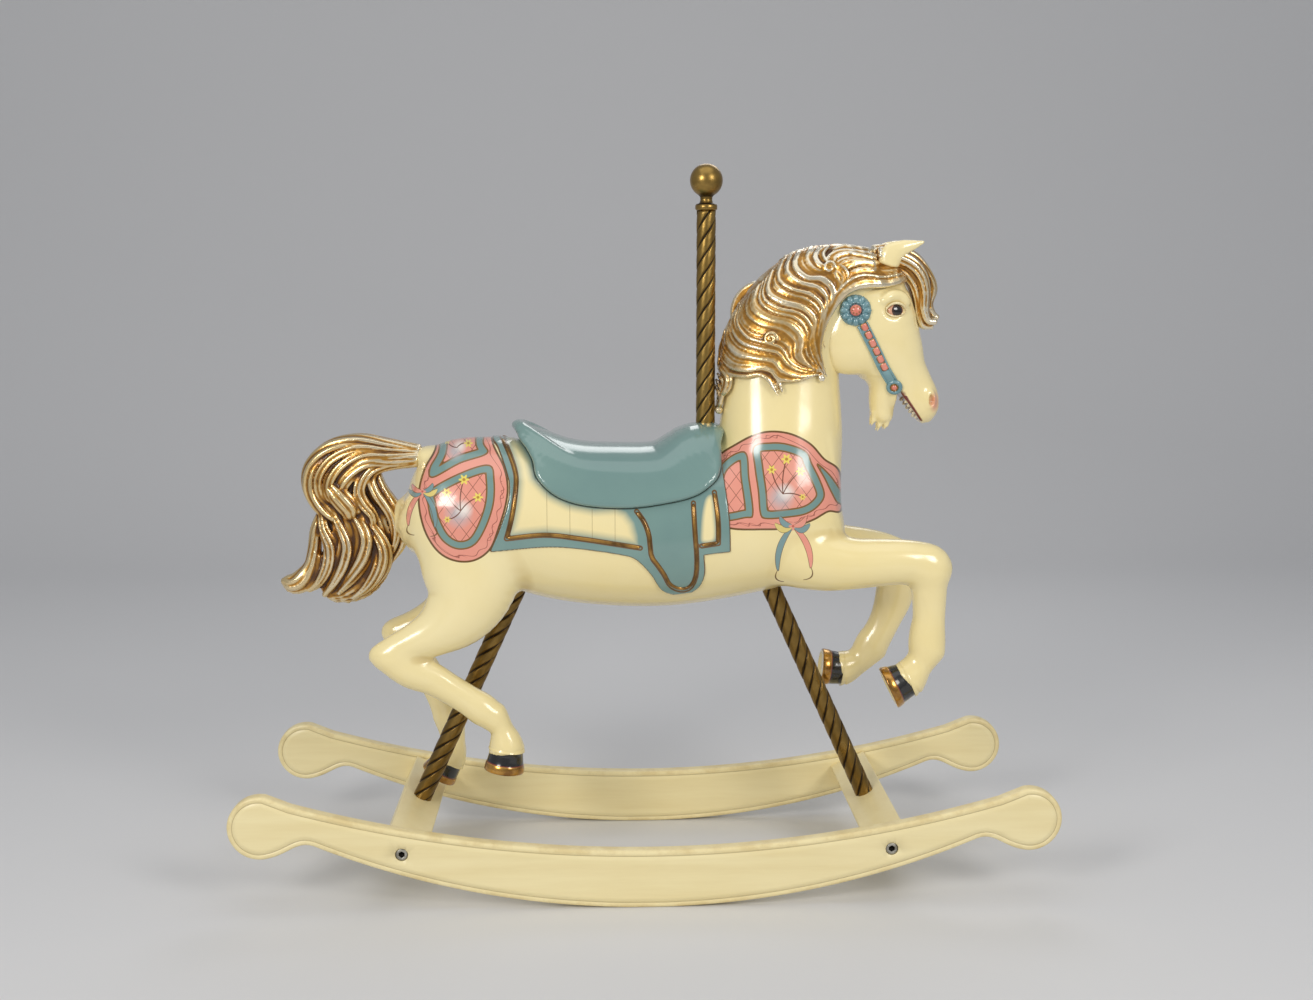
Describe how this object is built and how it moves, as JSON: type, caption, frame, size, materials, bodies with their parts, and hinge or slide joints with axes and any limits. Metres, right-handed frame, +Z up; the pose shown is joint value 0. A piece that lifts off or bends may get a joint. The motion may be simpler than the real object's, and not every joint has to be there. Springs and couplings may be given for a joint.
{
  "type": "carousel horse on rockers",
  "caption": "Prancing carousel horse cast with saddle, mane and tail, on a twisted brass pole and posts over a pair of wooden rockers.",
  "frame": {"origin": "on the floor, under the middle of the rockers", "axes": "+X the way the horse faces, along the rockers; +Y across, away from the carved show side; +Z up"},
  "size_m": [1.283, 0.418, 1.141],
  "materials": {
    "horse_lacquer": "glossy cream lacquer with painted trappings and gilded hair",
    "aged_brass": "aged brass with dark patina in the grooves",
    "rocker_paint": "satin cream paint on wood",
    "bolt_steel": "dull zinc-plated steel"
  },
  "bodies": {
    "root": {"horse": "horse_lacquer", "pole": "aged_brass", "ball_finial": "aged_brass", "front_post": "aged_brass", "rear_post": "aged_brass", "front_crossbar": "rocker_paint", "rear_crossbar": "rocker_paint", "near_rocker": "rocker_paint", "far_rocker": "rocker_paint", "bolt_near_front": "bolt_steel", "bolt_near_rear": "bolt_steel", "bolt_far_front": "bolt_steel", "bolt_far_rear": "bolt_steel"}
  },
  "joints": []
}
